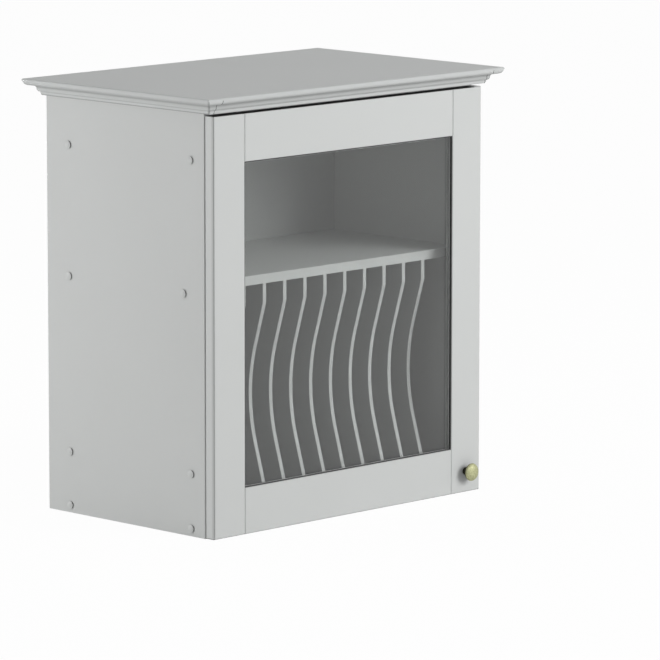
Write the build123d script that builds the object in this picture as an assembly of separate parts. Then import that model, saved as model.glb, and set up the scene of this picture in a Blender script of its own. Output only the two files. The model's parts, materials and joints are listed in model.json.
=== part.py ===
from build123d import *
import math
import os

# Kitchen wall cabinet with a glazed door, a shelf, a plate rack and a moulded cornice.
# Millimetres. X runs to the right across the front, Y to the rear, Z up.
# Lengths in Y are counted from the door's front face and then moved, so that the
# finished origin is the centre of the footprint, on the surface below.

# Carcass
body_width = 542.8
side_height = 601.5
side_depth = 323.9
side_thickness = 15.0
panel_thickness = 16.0
plinth_lift = 3.0
top_panel_drop = 60.5
board_easing = 0.8
stretcher_thickness = 16.0

# Door
door_thickness = 18.0
door_gap = 1.5
door_lift = 1.0
door_top_gap = 3.7
stile_width = 60.0
bottom_rail_width = 66.5
top_rail_width = 68.0
joint_groove = 1.4
door_easing = 2.0
opening_easing = 1.5

# Glazing
rebate_width = 10.0
lip_thickness = 5.0
seal_thickness = 0.8
seal_lining = 1.4
seal_start = 1.3
glass_thickness = 4.0
glass_clearance = 0.5
bead_depth = 7.5
bead_chamfer = 3.0
bead_clearance = 0.2
pin_radius = 0.7
pin_length = 14.0
pins_per_bead = 3
pin_hole_lead = 2.0

# Shelf and plate rack
interior_front = 33.5
shelf_thickness = 13.4
shelf_bottom = 348.0
back_front = 287.0
back_thickness = 3.0
back_groove = 5.0
groove_slack = 0.2
rail_thickness = 16.0
rail_height = 60.0
rack_end_thickness = 12.0
divider_count = 10
divider_pitch = 40.5
divider_thickness = 6.4
divider_tongue = 4.0
divider_shoulder = 4.0
scoop_top = 320.0
scoop_bottom = 54.4
scoop_depth = 28.7
scoop_angle = 16.5

# Cornice and top, outwards from the moulding's bottom edge
cornice_overhang = 9.0
cornice_rear_lead = 1.4
lip_projection = 19.6
moulding_width = 36.0
bead_height = 5.2
bead_out = 1.6
bead_belly_out = 1.4
ovolo_height = 5.1
ovolo_start = 3.2
ovolo_belly_out = 4.9
ovolo_belly_up = 2.0
ovolo_out = 5.5
cove_height = 3.8
cove_hollow_out = 6.8
cove_hollow_up = 2.3
cove_out = 8.9
nose_radius = 6.4
cover_thickness = 3.0
cover_rounding = 2.2
seam_left_out = 0.5
seam_right_out = 5.7
seam_gap = 0.8
mitre_gap = 0.3
mitre_easing = 1.5

# Screws, caps and dowels
front_screw_y = 47.5
shelf_screw_y = 62.0
rear_screw_y = 298.0
rack_row = 89.0
shelf_row = 344.0
screw_head_radius = 5.0
screw_head_height = 3.2
screw_sink = 4.5
screw_radius = 3.4
screw_length = 50.0
rack_screw_radius = 2.0
rack_screw_length = 21.0
fit_slack = 0.1
bore_slack = 0.2
cap_radius = 6.0
cap_height = 1.0
cap_collar_radius = 5.5
cap_collar_height = 1.2
cap_plug = 1.1
dowel_radius = 4.0
dowel_length = 30.0
cornice_dowel_up = 10.0
side_dowel_shares = (0.2, 0.5, 0.8)
cross_dowel_shares = (-0.75, -0.25, 0.25, 0.75)
stretcher_dowel_depth = 9.0
stretcher_dowel_low = 16.0
stretcher_dowel_high = 24.0
door_dowel_inset = 15.0

# Wall battens
batten_thickness = 27.0
cleat_width = 400.0
cleat_height = 59.0
cleat_drop = 1.5
wall_batten_width = 460.0
wall_batten_height = 40.0
batten_screw_radius = 2.5
batten_screw_head = 4.5
batten_screw_length = 41.0
batten_screw_spacing = 160.0
cleat_screw_below_top = 16.0

# Knob, its screw and the door's bumpers
knob_from_edge = 30.0
knob_height = 32.0
knob_radius = 13.1
knob_projection = 18.2
knob_foot_radius = 5.8
knob_foot_thickness = 1.2
knob_neck_radius = 4.4
knob_neck_at = 5.6
knob_rim_at = 12.3
knob_foot_flare = (-1, 0.6)
knob_rim_flare = (0.3, 1)
knob_crown_lean = (-0.05, 1)
knob_shoulder_in = 2.4
knob_shoulder_up = 3.7
knob_bore_depth = 9.0
knob_screw_radius = 2.0
knob_screw_head_radius = 4.2
knob_screw_head_height = 2.4
knob_screw_slot = 1.0
knob_screw_spare = 1.0
bumper_radius = 4.0
bumper_thickness = 1.2
bumper_from_end = 30.0

# Hinges: pivots from the side's outer face and the door's front face, door shut
hinge_inset = 129.0
arm_pivot_outer = (32.02, 41.84)
arm_pivot_inner = (35.58, 23.41)
cup_pivot_outer = (10.46, 15.54)
cup_pivot_inner = (16.22, 13.85)
open_eye = (16.98, 13.05)
outer_knee = (16.16, 10.0)
inner_knee = (34.83, 9.31)
hinge_pin_radius = 1.0
running_slack = 0.06
link_thickness = 3.0
link_eye_radius = 2.3
open_eye_radius = 3.25
open_eye_bore = 2.45
link_gap = 0.75
link_reach = 7.0
pin_root = 2.5
cup_centre = 22.5
cup_radius = 17.5
cup_depth = 12.0
cup_wall = 1.2
cup_pocket_half_length = 14.8
cup_pocket_half_height = 7.5
cup_clearance = 0.1
flange_thickness = 1.2
flange_half_width = 9.0
flange_half_height = 29.0
cup_screw_spacing = 48.0
cup_screw_radius = 1.6
cup_screw_head_radius = 3.4
cup_screw_length = 11.0
cheek_inner = 8.3
cheek_thickness = 1.5
arm_front = 20.2
arm_nose_half = 3.2
arm_neck = (3.4, 3.6)
arm_shoulder = 4.6
arm_root_start = 50.0
arm_root_end = 95.0
arm_back = 17.0
arm_top = 30.0
plate_thickness = 2.0
plate_half_height = 22.0
plate_start = 56.0
plate_end = 88.0
plate_screw_spacing = 32.0
plate_screw_radius = 2.6
plate_screw_head_radius = 3.6
plate_screw_head_height = 1.4
plate_screw_length = 11.0
notch_margin = 4.0
notch_end = 100.0

# Places worked out from the sizes above
half_width = body_width / 2
carcass_front = door_thickness + door_gap
carcass_back = carcass_front + side_depth
inner_half = half_width - side_thickness
floor_top = plinth_lift + panel_thickness
top_panel_top = side_height - top_panel_drop
ceiling = top_panel_top - panel_thickness
shelf_top = shelf_bottom + shelf_thickness
shelf_seat = shelf_bottom + shelf_thickness / 2
back_rear = back_front + back_thickness
door_top = side_height - door_top_gap
opening_bottom = door_lift + bottom_rail_width
opening_top = door_top - top_rail_width
opening_half = half_width - stile_width
glass_front = lip_thickness + seal_thickness
glass_back = glass_front + glass_thickness
bead_back = glass_back + bead_depth
moulding_height = bead_height + ovolo_height + cove_height + nose_radius
moulding_top = side_height + moulding_height
lip_half = half_width + cornice_overhang + lip_projection
lip_front = -lip_projection
seam_left = half_width + seam_left_out
seam_right = half_width + seam_right_out
cornice_back_edge = carcass_back + cornice_rear_lead
lip_back = cornice_back_edge + lip_projection
wall_plane = carcass_back + batten_thickness
origin_y = (wall_plane + lip_front) / 2
rack_inner = inner_half - rack_end_thickness
hinge_heights = (door_lift + hinge_inset, door_top - hinge_inset)
panel_rows = (plinth_lift + panel_thickness / 2, ceiling + panel_thickness / 2)
divider_places = [(i - (divider_count - 1) / 2) * divider_pitch for i in range(divider_count)]


def board(x0, x1, y0, y1, z0, z1):
    centre = Pos((x0 + x1) / 2, (y0 + y1) / 2, (z0 + z1) / 2)
    return centre * Box(x1 - x0, y1 - y0, z1 - z0)


def rod_x(x0, x1, y, z, radius):
    return Pos((x0 + x1) / 2, y, z) * Rot(0, 90, 0) * Cylinder(radius, abs(x1 - x0))


def rod_y(x, y0, y1, z, radius):
    return Pos(x, (y0 + y1) / 2, z) * Rot(90, 0, 0) * Cylinder(radius, abs(y1 - y0))


def rod_z(x, y, z0, z1, radius):
    return Pos(x, y, (z0 + z1) / 2) * Cylinder(radius, abs(z1 - z0))


def cut(shape, tools):
    for tool in tools:
        shape = shape - tool
    return shape


def group(shapes):
    solids = [solid for shape in shapes for solid in shape.solids()]
    return Compound(children=solids)


def save(name, shape):
    placed = Pos(0, -origin_y, 0) * shape
    placed.label = name
    export_step(placed, f"parts/{name}.step")


# Depth and height of each screw that goes through a side into a panel or rail
def side_screws():
    places = [(y, z) for z in panel_rows for y in (front_screw_y, rear_screw_y)]
    places += [(rear_screw_y, rack_row), (rear_screw_y, shelf_row)]
    return places


# The same for the screws that hold the rack's end boards
def rack_screw_places():
    return [(front_screw_y, rack_row), (shelf_screw_y, shelf_row)]


def side_screw(side, y, z, radius, length):
    head_start = half_width - screw_sink + screw_head_height
    head = rod_x(side * head_start, side * (half_width - screw_sink), y, z, screw_head_radius)
    shank = rod_x(side * (half_width - screw_sink), side * (half_width - screw_sink - length), y, z, radius)
    return head + shank


def side_screw_hole(side, y, z, radius, length):
    sink = half_width - screw_sink
    seat = rod_x(side * half_width, side * sink, y, z, screw_head_radius + bore_slack)
    bore = rod_x(side * sink, side * (sink - length - bore_slack), y, z, radius + fit_slack)
    return seat + bore


def panel_screw_holes():
    sides = (-1, 1)
    return [side_screw_hole(s, y, z, screw_radius, screw_length) for s in sides for y, z in side_screws()]


def rack_screw_holes(side):
    return [side_screw_hole(side, y, z, rack_screw_radius, rack_screw_length)
            for y, z in rack_screw_places()]


# A domed button on a narrower collar, with a plug that fills the screw's counterbore
def cover_cap(side, y, z):
    dome_radius = (cap_radius ** 2 + cap_height ** 2) / (2 * cap_height)
    cutter = Pos(0, 0, dome_radius) * Box(2 * dome_radius, 2 * dome_radius, 2 * cap_height)
    dome = Pos(0, 0, cap_collar_height + cap_height - dome_radius) * (Sphere(dome_radius) & cutter)
    collar = Pos(0, 0, cap_collar_height / 2) * Cylinder(cap_collar_radius, cap_collar_height)
    plug = Pos(0, 0, -cap_plug / 2) * Cylinder(screw_head_radius, cap_plug)
    return Pos(side * half_width, y, z) * Rot(0, side * 90, 0) * (dome + collar + plug)


# Dowels between the upright boards and the moulding above, and at the stretchers' ends
def cornice_dowels():
    low = side_height - dowel_length + cornice_dowel_up
    high = side_height + cornice_dowel_up
    depths = [carcass_front + side_depth * share for share in side_dowel_shares]
    places = [(s * (half_width - side_thickness / 2), y) for s in (-1, 1) for y in depths]
    rows = (carcass_front + stretcher_thickness / 2, carcass_back - stretcher_thickness / 2)
    places += [(inner_half * share, y) for y in rows for share in cross_dowel_shares]
    return [(x, y, low, high) for x, y in places]


def carcass_dowels():
    rows = (carcass_front + stretcher_thickness / 2, carcass_back - stretcher_thickness / 2)
    heights = (top_panel_top + stretcher_dowel_low, side_height - stretcher_dowel_high)
    outer = inner_half + stretcher_dowel_depth
    ends = [(s * outer, s * (outer - dowel_length)) for s in (-1, 1)]
    return [(x0, x1, y, z) for x0, x1 in ends for y in rows for z in heights]


def carcass_dowel_holes():
    return [rod_x(x0, x1, y, z, dowel_radius + fit_slack) for x0, x1, y, z in carcass_dowels()]


def cornice_dowel_holes():
    return [rod_z(x, y, z0 - bore_slack, z1 + bore_slack, dowel_radius + fit_slack)
            for x, y, z0, z1 in cornice_dowels()]


def back_panel_slot():
    return board(-inner_half - back_groove, inner_half + back_groove, back_front, back_rear + groove_slack,
                 floor_top - back_groove, ceiling + back_groove)


def side_panel(side):
    inner, outer = side * inner_half, side * half_width
    panel = board(min(inner, outer), max(inner, outer), carcass_front, carcass_back, 0, side_height)
    outer_edges = panel.edges().filter_by(Axis.Z).sort_by(Axis.X)
    panel = fillet(outer_edges[:2] if side < 0 else outer_edges[-2:], board_easing)
    tools = panel_screw_holes() + rack_screw_holes(side) + carcass_dowel_holes() + cornice_dowel_holes()
    tools.append(back_panel_slot())
    if side < 0:
        tools += [plate_screw_hole(y, z) for y, z in plate_screw_places()]
    return cut(panel, tools)


def divider_grooves():
    front = interior_front + divider_shoulder - groove_slack
    half = divider_thickness / 2 + groove_slack / 2
    low = floor_top - divider_tongue - groove_slack
    high = shelf_bottom + divider_tongue + groove_slack
    return [board(x - half, x + half, front, back_front, low, high) for x in divider_places]


def bottom_panel():
    panel = board(-inner_half, inner_half, carcass_front, carcass_back, plinth_lift, floor_top)
    screws = [batten_screw_hole(x, panel_rows[0]) for x in batten_screw_row()]
    return cut(panel, panel_screw_holes() + divider_grooves() + screws + [back_panel_slot()])


def top_panel():
    panel = board(-inner_half, inner_half, carcass_front, carcass_back, ceiling, top_panel_top)
    return cut(panel, panel_screw_holes() + [back_panel_slot()])


def stretcher(y0):
    rail = board(-inner_half, inner_half, y0, y0 + stretcher_thickness, top_panel_top, side_height)
    screws = [batten_screw_hole(x, cleat_screw_height()) for x in batten_screw_row()]
    return cut(rail, carcass_dowel_holes() + cornice_dowel_holes() + screws)


def back_panel():
    depth = back_groove - groove_slack
    return board(-inner_half - depth, inner_half + depth, back_front, back_rear,
                 floor_top - depth, ceiling + depth)


def rear_rail(height):
    rail = board(-inner_half, inner_half, back_rear, back_rear + rail_thickness,
                 height - rail_height / 2, height + rail_height / 2)
    return cut(rail, panel_screw_holes())


# The shelf rests on the rack's end boards, which stand in rebates below its ends
def shelf():
    plate = board(-inner_half, inner_half, interior_front, back_front, shelf_bottom, shelf_top)
    rests = [board(min(s * rack_inner, s * inner_half), max(s * rack_inner, s * inner_half),
                   interior_front, back_front, shelf_bottom, shelf_seat) for s in (-1, 1)]
    plate = cut(plate, rests + divider_grooves())
    front_top = plate.edges().filter_by(Axis.X).group_by(Axis.Z)[-1].sort_by(Axis.Y)[:1]
    return fillet(front_top, board_easing)


def rack_end(side):
    x0, x1 = sorted((side * rack_inner, side * inner_half))
    plate = board(x0, x1, interior_front, back_front, floor_top, shelf_seat)
    tools = rack_screw_holes(side)
    if side < 0:
        half = plate_half_height + notch_margin
        height = hinge_heights[0]
        tools.append(board(x0, x1, interior_front, notch_end, height - half, height + half))
    return cut(plate, tools)


# Curved front edge: straight ramps at one angle, joined by an arc at the deepest place
def plate_divider(x):
    slope = math.radians(scoop_angle)
    middle = (scoop_top + scoop_bottom) / 2
    half = (scoop_top - scoop_bottom) / 2
    ramp_share = math.sin(slope) * math.tan(slope) + math.cos(slope) - 1
    radius = (half * math.tan(slope) - scoop_depth) / ramp_share
    arc_half = radius * math.sin(slope)
    arc_start = interior_front + scoop_depth - radius * (1 - math.cos(slope))
    low, high = floor_top - divider_tongue, shelf_bottom + divider_tongue
    tongue = interior_front + divider_shoulder
    with BuildSketch(Plane.YZ) as face:
        with BuildLine():
            Polyline((arc_start, middle + arc_half), (interior_front, scoop_top),
                     (interior_front, shelf_bottom), (tongue, shelf_bottom), (tongue, high),
                     (back_front, high), (back_front, low), (tongue, low), (tongue, floor_top),
                     (interior_front, floor_top), (interior_front, scoop_bottom),
                     (arc_start, middle - arc_half))
            ThreePointArc((arc_start, middle - arc_half), (interior_front + scoop_depth, middle),
                          (arc_start, middle + arc_half))
        make_face()
    return Pos(x, 0, 0) * extrude(face.sketch, divider_thickness / 2, both=True)


# Section of the moulding, with the lip's line at zero and the bottom at the side's top
def moulding_section(inner):
    bottom = side_height
    bead_top = bottom + bead_height
    ovolo_top = bead_top + ovolo_height
    cove_top = ovolo_top + cove_height
    nose_middle = nose_radius * math.sin(math.pi / 4)

    def at(out, z):
        return (lip_projection - out, z)

    with BuildSketch(Plane.YZ) as face:
        with BuildLine():
            Line((inner, bottom), at(0, bottom))
            ThreePointArc(at(0, bottom), at(bead_belly_out, bottom + bead_height / 2),
                          at(bead_out, bead_top))
            Line(at(bead_out, bead_top), at(ovolo_start, bead_top))
            ThreePointArc(at(ovolo_start, bead_top), at(ovolo_belly_out, bead_top + ovolo_belly_up),
                          at(ovolo_out, ovolo_top))
            ThreePointArc(at(ovolo_out, ovolo_top), at(cove_hollow_out, ovolo_top + cove_hollow_up),
                          at(cove_out, cove_top))
            Line(at(cove_out, cove_top), at(lip_projection - nose_radius, cove_top))
            ThreePointArc(at(lip_projection - nose_radius, cove_top),
                          at(lip_projection - nose_radius + nose_middle, moulding_top - nose_middle),
                          at(lip_projection, moulding_top))
            Polyline(at(lip_projection, moulding_top), (inner, moulding_top), (inner, bottom))
        make_face()
    return face.sketch


# The moulding's outline across a mitred corner, set back to ease the corner's sharp edge
def eased_corner(reach):
    outline = scale(moulding_section(reach), by=(1, math.sqrt(2), 1))
    return Pos(0, mitre_easing, 0) * extrude(outline, reach, both=True)


# One run of moulding, mitred at both ends, with its lip along X
def moulding_run(length):
    inner = lip_projection + moulding_width
    half = length / 2 - mitre_gap / 2
    plan = Plane.XY * make_face(Polyline((-half, 0), (half, 0), (half - inner, inner),
                                         (inner - half, inner), (-half, 0)))
    prism = Pos(0, 0, side_height) * extrude(plan, moulding_height)
    run = extrude(moulding_section(inner), length / 2, both=True) & prism
    corner = eased_corner(length)
    for side in (-1, 1):
        run = run & (Pos(side * length / 2, 0, 0) * Rot(0, 0, side * 45) * corner)
    return run


def front_moulding():
    run = Pos(0, lip_front, 0) * moulding_run(2 * lip_half)
    return cut(run, cornice_dowel_holes())


def side_moulding(side):
    depth = lip_back - lip_front
    run = Rot(0, 0, side * 90) * moulding_run(depth)
    return cut(Pos(side * lip_half, (lip_back + lip_front) / 2, 0) * run, cornice_dowel_holes())


def back_moulding():
    run = Pos(0, lip_back, 0) * Rot(0, 0, 180) * moulding_run(2 * lip_half)
    return cut(run, cornice_dowel_holes())


def slab_between(x0, x1):
    return board(x0, x1, lip_front, lip_back, side_height, moulding_top)


def top_cover():
    plate = board(-lip_half, lip_half, lip_front, lip_back, moulding_top, moulding_top + cover_thickness)
    return fillet(plate.faces().sort_by(Axis.Z)[-1].edges(), cover_rounding)


def batten_screw_row():
    return (-batten_screw_spacing, 0, batten_screw_spacing)


def cleat_top():
    return side_height - cleat_drop


def cleat_screw_height():
    return cleat_top() - cleat_screw_below_top


def batten_screw(x, z):
    seat = wall_plane - batten_screw_head
    head = Pos(x, wall_plane - batten_screw_head / 2, z) * Rot(-90, 0, 0) * Cone(
        batten_screw_radius, batten_screw_head, batten_screw_head)
    return head + rod_y(x, wall_plane - batten_screw_length, seat, z, batten_screw_radius)


def batten_screw_hole(x, z):
    seat = wall_plane - batten_screw_head
    head = Pos(x, wall_plane - batten_screw_head / 2, z) * Rot(-90, 0, 0) * Cone(
        batten_screw_radius + fit_slack, batten_screw_head + fit_slack, batten_screw_head)
    bore = rod_y(x, wall_plane - batten_screw_length - bore_slack, seat, z, batten_screw_radius + fit_slack)
    return head + bore


# Bevelled along its lower edge, with the long face to the wall, so that it hooks over a strip
def hanging_cleat():
    bottom, top = cleat_top() - cleat_height, cleat_top()
    with BuildSketch(Plane.YZ) as face:
        with BuildLine():
            Polyline((carcass_back, top), (wall_plane, top), (wall_plane, bottom),
                     (carcass_back, bottom + batten_thickness), (carcass_back, top))
        make_face()
    bar = extrude(face.sketch, cleat_width / 2, both=True)
    return cut(bar, [batten_screw_hole(x, cleat_screw_height()) for x in batten_screw_row()])


def wall_batten():
    bar = board(-wall_batten_width / 2, wall_batten_width / 2, carcass_back, wall_plane,
                plinth_lift, plinth_lift + wall_batten_height)
    return cut(bar, [batten_screw_hole(x, panel_rows[0]) for x in batten_screw_row()])


# Door frame
def joint_groove_cut(side, z0, z1):
    x = side * opening_half
    size = joint_groove * math.sqrt(2)
    wedge = Pos(x, 0, (z0 + z1) / 2) * Rot(0, 0, 45) * Box(size, size, z1 - z0)
    return wedge


def joint_grooves():
    spans = ((door_lift, opening_bottom), (opening_top, door_top))
    return [joint_groove_cut(side, z0, z1) for side in (-1, 1) for z0, z1 in spans]


def rebate():
    return board(-opening_half - rebate_width, opening_half + rebate_width, lip_thickness,
                 door_thickness, opening_bottom - rebate_width, opening_top + rebate_width)


def door_dowels():
    heights = (door_lift + door_dowel_inset, opening_bottom - rebate_width - door_dowel_inset,
               opening_top + rebate_width + door_dowel_inset, door_top - door_dowel_inset)
    half = dowel_length / 2
    return [(s * opening_half - half, s * opening_half + half, z) for s in (-1, 1) for z in heights]


def door_dowel_holes():
    return [rod_x(x0 - bore_slack, x1 + bore_slack, door_thickness / 2, z, dowel_radius + fit_slack)
            for x0, x1, z in door_dowels()]


def door_stile(side):
    x0, x1 = sorted((side * opening_half, side * half_width))
    bar = board(x0, x1, 0, door_thickness, door_lift, door_top)
    outer = bar.edges().filter_by(Axis.Z).group_by(Axis.X)[0 if side < 0 else -1]
    front_ends = bar.edges().filter_by(Axis.X).group_by(Axis.Y)[0]
    bar = fillet(outer + front_ends, door_easing)
    tools = joint_grooves() + door_dowel_holes() + pin_holes() + [rebate(), opening_round_cut(side)]
    if side < 0:
        for height in hinge_heights:
            tools += cup_seat(height)
    else:
        tools += knob_holes()
    return cut(bar, tools)


# Rounds the opening's front edge along one stile, between the rails
def opening_round_cut(side):
    x = side * opening_half
    length = opening_top - opening_bottom
    middle = (opening_top + opening_bottom) / 2
    corner = Pos(x, 0, middle) * Box(2 * opening_easing, 2 * opening_easing, length)
    centre = Pos(x + side * opening_easing, opening_easing, middle)
    return corner - centre * Cylinder(opening_easing, length)


def door_rail(z0, z1, inner_first):
    bar = board(-opening_half, opening_half, 0, door_thickness, z0, z1)
    front = bar.edges().filter_by(Axis.X).group_by(Axis.Y)[0].sort_by(Axis.Z)
    back = bar.edges().filter_by(Axis.X).group_by(Axis.Y)[-1].sort_by(Axis.Z)
    inner, outer = (front[0], front[-1]) if inner_first else (front[-1], front[0])
    outer_back = back[-1] if inner_first else back[0]
    bar = fillet([outer, outer_back], door_easing)
    near = [edge for edge in bar.edges().filter_by(Axis.X).group_by(Axis.Y)[0]
            if abs(edge.center().Z - inner.center().Z) < opening_easing]
    bar = fillet(near, opening_easing)
    return cut(bar, joint_grooves() + door_dowel_holes() + pin_holes() + [rebate()])


def knob_holes():
    x, z = half_width - knob_from_edge, knob_height
    return [rod_y(x, 0, door_thickness, z, knob_screw_radius + fit_slack),
            rod_y(x, door_thickness - knob_screw_head_height, door_thickness, z,
                  knob_screw_head_radius + bore_slack)]


# Glass, its black seal, and the mitred beads that hold it in the rebate
def glass_pane():
    spread = rebate_width - glass_clearance
    return board(-opening_half - spread, opening_half + spread, glass_front, glass_back,
                 opening_bottom - spread, opening_top + spread)


def glass_seal():
    spread = rebate_width - glass_clearance
    flange = board(-opening_half - spread, opening_half + spread, lip_thickness, glass_front,
                   opening_bottom - spread, opening_top + spread)
    lining = board(-opening_half, opening_half, seal_start, glass_front, opening_bottom, opening_top)
    clear_half = opening_half - seal_lining
    clear = board(-clear_half, clear_half, 0, door_thickness,
                  opening_bottom + seal_lining, opening_top - seal_lining)
    return (flange + lining) - clear


def bead_run(length):
    width = rebate_width - bead_clearance
    half = length / 2
    with BuildSketch(Plane.YZ) as face:
        with BuildLine():
            Polyline((glass_back, 0), (bead_back, 0), (bead_back, width - bead_chamfer),
                     (bead_back - bead_chamfer, width), (glass_back, width), (glass_back, 0))
        make_face()
    plan = Plane.XZ * make_face(Polyline((-half, 0), (half, 0), (half - width, width),
                                         (width - half, width), (-half, 0)))
    wedge = Pos(0, (glass_back + bead_back) / 2, 0) * extrude(plan, bead_back, both=True)
    return extrude(face.sketch, half, both=True) & wedge


def glazing_beads():
    width = 2 * (opening_half + rebate_width - bead_clearance)
    height = opening_top - opening_bottom + 2 * (rebate_width - bead_clearance)
    middle = (opening_top + opening_bottom) / 2
    across, upright = bead_run(width), bead_run(height)
    beads = [Pos(0, 0, middle - height / 2) * across,
             Pos(0, 0, middle + height / 2) * Rot(0, 180, 0) * across,
             Pos(-width / 2, 0, middle) * Rot(0, 90, 0) * upright,
             Pos(width / 2, 0, middle) * Rot(0, -90, 0) * upright]
    return [cut(bead, pin_holes()) for bead in beads]


# Rods across the beads into the frame, lengthened by lead at the bead's face and by tail at the tip
def pin_rods(radius, lead, tail):
    y = (glass_back + bead_back) / 2
    reach = bead_chamfer / 2
    shares = [(i + 0.5) / pins_per_bead for i in range(pins_per_bead)]
    rods = []
    for side in (-1, 1):
        start = side * (opening_half + reach)
        for share in shares:
            z = opening_bottom + share * (opening_top - opening_bottom)
            rods.append(rod_x(start - side * lead, start + side * (pin_length + tail), y, z, radius))
    for side, edge in ((-1, opening_bottom), (1, opening_top)):
        start = edge + side * reach
        for share in shares:
            x = -opening_half + share * 2 * opening_half
            rods.append(rod_z(x, y, start - side * lead, start + side * (pin_length + tail), radius))
    return rods


def pin_holes():
    return pin_rods(pin_radius + fit_slack, pin_hole_lead, fit_slack)


# Turned knob: foot, slim neck and a mushroom head, with a threaded bore behind
def knob():
    shoulder = (knob_radius - knob_shoulder_in, knob_rim_at + knob_shoulder_up)
    with BuildSketch(Plane.XY) as face:
        with BuildLine():
            Polyline((0, 0), (knob_foot_radius, 0), (knob_foot_radius, knob_foot_thickness))
            Spline((knob_foot_radius, knob_foot_thickness), (knob_neck_radius, knob_neck_at),
                   (knob_radius, knob_rim_at), tangents=(knob_foot_flare, knob_rim_flare))
            Spline((knob_radius, knob_rim_at), shoulder, (0, knob_projection),
                   tangents=(knob_crown_lean, (-1, 0)))
            Line((0, knob_projection), (0, 0))
        make_face()
    body = revolve(face.sketch, Axis.Y)
    bore = rod_y(0, 0, knob_bore_depth, 0, knob_screw_radius + fit_slack)
    turned = Rot(0, 0, 180) * (body - bore)
    return Pos(half_width - knob_from_edge, 0, knob_height) * turned


def knob_screw():
    x, z = half_width - knob_from_edge, knob_height
    seat = door_thickness - knob_screw_head_height
    head = rod_y(x, seat, door_thickness, z, knob_screw_head_radius)
    slot = board(x - knob_screw_head_radius, x + knob_screw_head_radius, door_thickness - knob_screw_slot,
                 door_thickness, z - knob_screw_slot / 2, z + knob_screw_slot / 2)
    return head + rod_y(x, knob_screw_spare - knob_bore_depth, seat, z, knob_screw_radius) - slot


def door_bumpers():
    x = half_width - side_thickness / 2
    heights = (door_lift + bumper_from_end, door_top - bumper_from_end)
    return [rod_y(x, door_thickness, door_thickness + bumper_thickness, z, bumper_radius) for z in heights]


# Hinges, drawn about their own middle height at the left of the cabinet
def hinge_x(distance):
    return distance - half_width


def both_hinges(make):
    return group([Pos(0, 0, height) * make() for height in hinge_heights])


def cup_seat(height):
    x = hinge_x(cup_centre)
    recess = board(x - flange_half_width - cup_clearance, x + flange_half_width + cup_clearance,
                   door_thickness - flange_thickness, door_thickness,
                   height - flange_half_height - cup_clearance, height + flange_half_height + cup_clearance)
    bore = rod_y(x, door_thickness - cup_depth, door_thickness, height, cup_radius + cup_clearance)
    pilots = [rod_y(x, door_thickness - flange_thickness - cup_screw_length, door_thickness,
                    height + s * cup_screw_spacing / 2, cup_screw_radius + fit_slack) for s in (-1, 1)]
    return [recess, bore] + pilots


def hinge_cup():
    x = hinge_x(cup_centre)
    shell = rod_y(x, door_thickness - cup_depth, door_thickness, 0, cup_radius)
    flange = board(x - flange_half_width, x + flange_half_width, door_thickness - flange_thickness,
                   door_thickness, -flange_half_height, flange_half_height)
    pocket = board(x - cup_pocket_half_length, x + cup_pocket_half_length,
                   door_thickness - cup_depth + cup_wall, door_thickness,
                   -cup_pocket_half_height, cup_pocket_half_height)
    heads = [rod_y(x, 0, door_thickness, s * cup_screw_spacing / 2, cup_screw_head_radius + fit_slack)
             for s in (-1, 1)]
    pins = cup_pin_places(fit_slack / 2)
    return cut(shell + flange, [pocket] + heads + pins)


def hinge_cup_screws():
    x = hinge_x(cup_centre)
    seat = door_thickness - flange_thickness
    screws = []
    for s in (-1, 1):
        z = s * cup_screw_spacing / 2
        head = rod_y(x, seat, door_thickness, z, cup_screw_head_radius)
        screws.append(head + rod_y(x, seat - cup_screw_length, seat, z, cup_screw_radius))
    return group(screws)


def eye(place, radius, z0, z1):
    return rod_z(hinge_x(place[0]), place[1], z0, z1, radius)


def cup_pin_places(slack):
    deep = cup_pocket_half_height + pin_root
    radius = hinge_pin_radius + slack
    return [eye(cup_pivot_outer, radius, link_gap, deep), eye(cup_pivot_inner, radius, -deep, -link_gap)]


def arm_pin_places(slack):
    deep = cheek_inner + cheek_thickness
    radius = hinge_pin_radius + slack
    return [eye(arm_pivot_outer, radius, link_gap, deep), eye(arm_pivot_inner, radius, -deep, -link_gap)]


def bar_between(start, end, z0, z1):
    dx, dy = end[0] - start[0], end[1] - start[1]
    length = math.hypot(dx, dy)
    angle = math.degrees(math.atan2(dy, dx))
    middle = Pos(hinge_x((start[0] + end[0]) / 2), (start[1] + end[1]) / 2, (z0 + z1) / 2)
    return middle * Rot(0, 0, angle) * Box(length, link_thickness, z1 - z0)


def cranked_link(start, knee, end, end_radius, start_bore, end_bore, z0, z1):
    link = bar_between(start, knee, z0, z1) + bar_between(knee, end, z0, z1)
    link = link + eye(start, link_eye_radius, z0, z1) + eye(end, end_radius, z0, z1)
    link = link + eye(knee, link_thickness / 2, z0, z1)
    return link - eye(start, start_bore, z0, z1) - eye(end, end_bore, z0, z1)


def outer_link():
    bore = hinge_pin_radius + running_slack
    return cranked_link(arm_pivot_outer, outer_knee, cup_pivot_outer, link_eye_radius, bore, bore,
                        link_gap, link_reach)


def inner_link():
    bore = hinge_pin_radius + running_slack
    return cranked_link(arm_pivot_inner, inner_knee, open_eye, open_eye_radius, bore, open_eye_bore,
                        -link_reach, -link_gap)


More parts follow.
